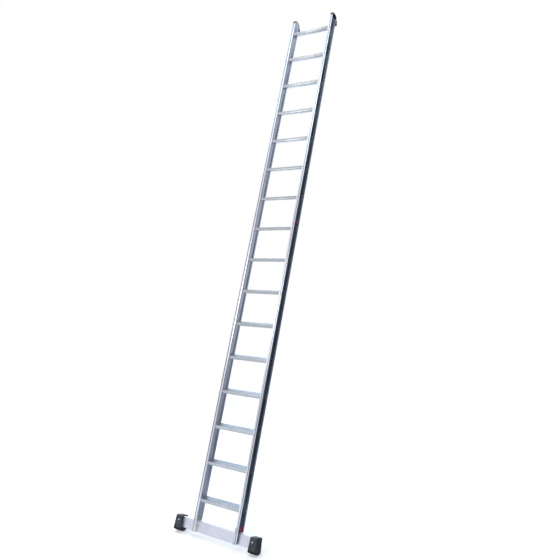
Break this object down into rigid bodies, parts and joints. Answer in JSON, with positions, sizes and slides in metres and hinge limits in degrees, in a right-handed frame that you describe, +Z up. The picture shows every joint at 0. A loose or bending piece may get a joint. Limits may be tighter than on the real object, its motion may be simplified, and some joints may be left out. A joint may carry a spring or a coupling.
{
  "type": "leaning ladder",
  "caption": "Aluminium leaning ladder with wide ribbed rungs between boxed stiles, a stabiliser bar on rubber-soled feet, and capped, padded tops that rest on a wall.",
  "frame": {"origin": "middle of the whole box's base, at floor level, with the ladder leaning at its working angle", "axes": "+Z up, +X along the stabiliser bar to the right stile, +Y towards the wall that the top leans on"},
  "size_m": [0.7674, 1.6514, 4.3438],
  "materials": {
    "aluminium": "mill-finished extrusion, satin with faint lengthwise drawing lines",
    "zinc_steel": "bright zinc plate",
    "foot_plastic": "moulded, fine grained dark grey",
    "cap_plastic": "moulded, satin black",
    "rubber": "matte black, slightly dusty",
    "label": "plain red sticker with no text"
  },
  "bodies": {
    "root": {"left_bar_bolt_1": "zinc_steel", "left_bar_bolt_2": "zinc_steel", "left_bracket": "aluminium", "left_bracket_rivet_1": "zinc_steel", "left_bracket_rivet_2": "zinc_steel", "left_foot": "foot_plastic", "left_foot_screw": "zinc_steel", "left_foot_sole": "rubber", "left_pad_screw": "zinc_steel", "left_stile": "aluminium", "left_stile_insert": "foot_plastic", "left_top_cap": "cap_plastic", "left_wall_pad": "cap_plastic", "lower_label": "label", "right_bar_bolt_1": "zinc_steel", "right_bar_bolt_2": "zinc_steel", "right_bracket": "aluminium", "right_bracket_rivet_1": "zinc_steel", "right_bracket_rivet_2": "zinc_steel", "right_foot": "foot_plastic", "right_foot_screw": "zinc_steel", "right_foot_sole": "rubber", "right_pad_screw": "zinc_steel", "right_stile": "aluminium", "right_stile_insert": "foot_plastic", "right_top_cap": "cap_plastic", "right_wall_pad": "cap_plastic", "rung_01": "aluminium", "rung_02": "aluminium", "rung_03": "aluminium", "rung_04": "aluminium", "rung_05": "aluminium", "rung_06": "aluminium", "rung_07": "aluminium", "rung_08": "aluminium", "rung_09": "aluminium", "rung_10": "aluminium", "rung_11": "aluminium", "rung_12": "aluminium", "rung_13": "aluminium", "rung_14": "aluminium", "rung_15": "aluminium", "rung_16": "aluminium", "stabiliser_bar": "aluminium", "upper_label": "label"}
  },
  "joints": []
}
